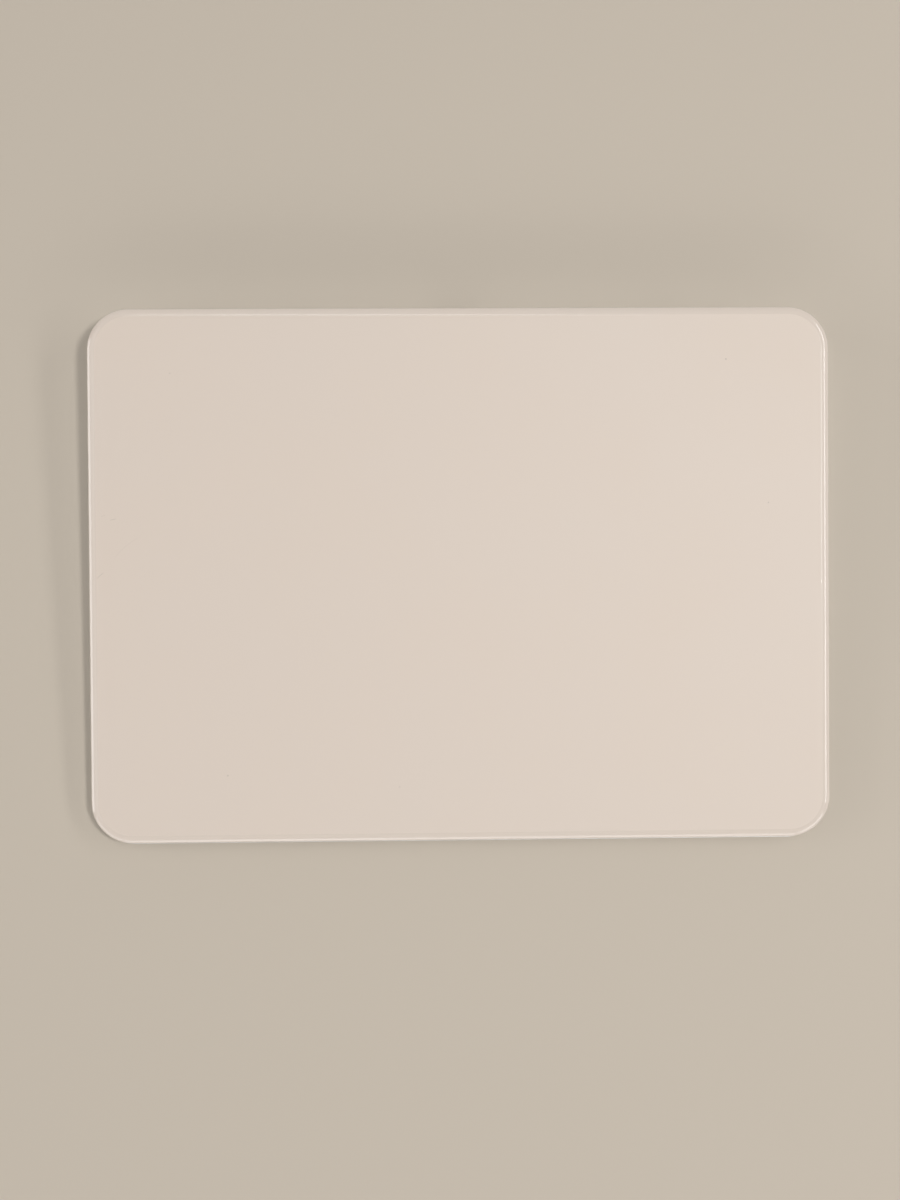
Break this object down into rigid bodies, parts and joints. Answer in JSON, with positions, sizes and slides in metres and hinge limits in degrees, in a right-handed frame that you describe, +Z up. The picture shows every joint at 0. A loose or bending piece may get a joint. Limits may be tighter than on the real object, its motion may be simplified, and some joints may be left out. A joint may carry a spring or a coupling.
{
  "type": "trackpad",
  "caption": "Low wedge-shaped cordless trackpad with a white glass touch plate floating on load cells in a metal case, with a charging socket and a sliding switch at the rear.",
  "frame": {"origin": "on the desk, under the middle of the pad's outline", "axes": "+X to the user's right, +Y to the thick rear edge, +Z up"},
  "size_m": [0.16, 0.115, 0.0108],
  "materials": {
    "white_glass": "satin",
    "white_bond": "matte",
    "circuit_board": "satin",
    "chip_package": "matte",
    "sheet_steel": "satin",
    "soft_iron": "matte",
    "screw_steel": "satin",
    "bead_blasted_aluminium": "satin",
    "white_base": "satin",
    "foot_rubber": "matte",
    "gel": "satin",
    "gauge_foil": "satin",
    "copper_winding": "satin",
    "pouch_foil": "satin",
    "flat_lead": "matte",
    "ribbon_film": "gloss",
    "contact_gold": "polished",
    "slider_plastic": "satin",
    "green_label": "matte"
  },
  "bodies": {
    "case": {"base_bond": "white_bond", "battery_strips": "white_bond", "main_board": "circuit_board", "rear_board": "circuit_board", "battery_board": "circuit_board", "main_chips": "chip_package", "rear_chips": "chip_package", "switch_body": "chip_package", "socket_tongue": "chip_package", "actuator_bracket": "sheet_steel", "shield_can": "sheet_steel", "socket_shell": "sheet_steel", "load_cell_front_left": "sheet_steel", "load_cell_front_right": "sheet_steel", "load_cell_rear_left": "sheet_steel", "load_cell_rear_right": "sheet_steel", "core_left": "soft_iron", "core_right": "soft_iron", "load_cell_screws": "screw_steel", "actuator_screws": "screw_steel", "board_screws": "screw_steel", "lower_case": "bead_blasted_aluminium", "base_plate": "white_base", "foot_front_left": "foot_rubber", "foot_front_right": "foot_rubber", "foot_rear_left": "foot_rubber", "foot_rear_right": "foot_rubber", "strain_gauges": "gauge_foil", "coils_left": "copper_winding", "coils_right": "copper_winding", "battery_cell": "pouch_foil", "battery_tabs": "pouch_foil", "battery_lead": "flat_lead", "sensor_ribbon": "ribbon_film", "wall_ribbon": "ribbon_film", "socket_contacts": "contact_gold"},
    "gel_pads": {"gel_pad_front_left": "gel", "gel_pad_front_right": "gel", "gel_pad_rear_left": "gel", "gel_pad_rear_right": "gel"},
    "touch_plate": {"cover_glass": "white_glass", "bond_sheet": "white_bond", "sensor_board": "circuit_board", "touch_chips": "chip_package", "stiffener_plate": "sheet_steel", "armature": "soft_iron"},
    "power_slider": {"switch_knob": "slider_plastic", "switch_label": "green_label"}
  },
  "joints": [
    {"name": "touch_press", "type": "slide", "parent": "case", "child": "gel_pads", "axis": [0, -0.0521, 0.9986], "range_m": [-0.00025, 0], "stiffness_N_per_m": 20000, "springref_m": 0.00006, "deforming": ["load_cell_front_left", "load_cell_front_right", "load_cell_rear_left", "load_cell_rear_right", "strain_gauges", "sensor_ribbon"]},
    {"name": "haptic_shift", "type": "slide", "parent": "gel_pads", "child": "touch_plate", "axis": [1, 0, 0], "range_m": [-0.00015, 0.00015], "stiffness_N_per_m": 25000, "deforming": ["gel_pad_front_left", "gel_pad_front_right", "gel_pad_rear_left", "gel_pad_rear_right"]},
    {"name": "power_slide", "type": "slide", "parent": "case", "child": "power_slider", "axis": [1, 0, 0], "range_m": [-0.002, 0]}
  ]
}
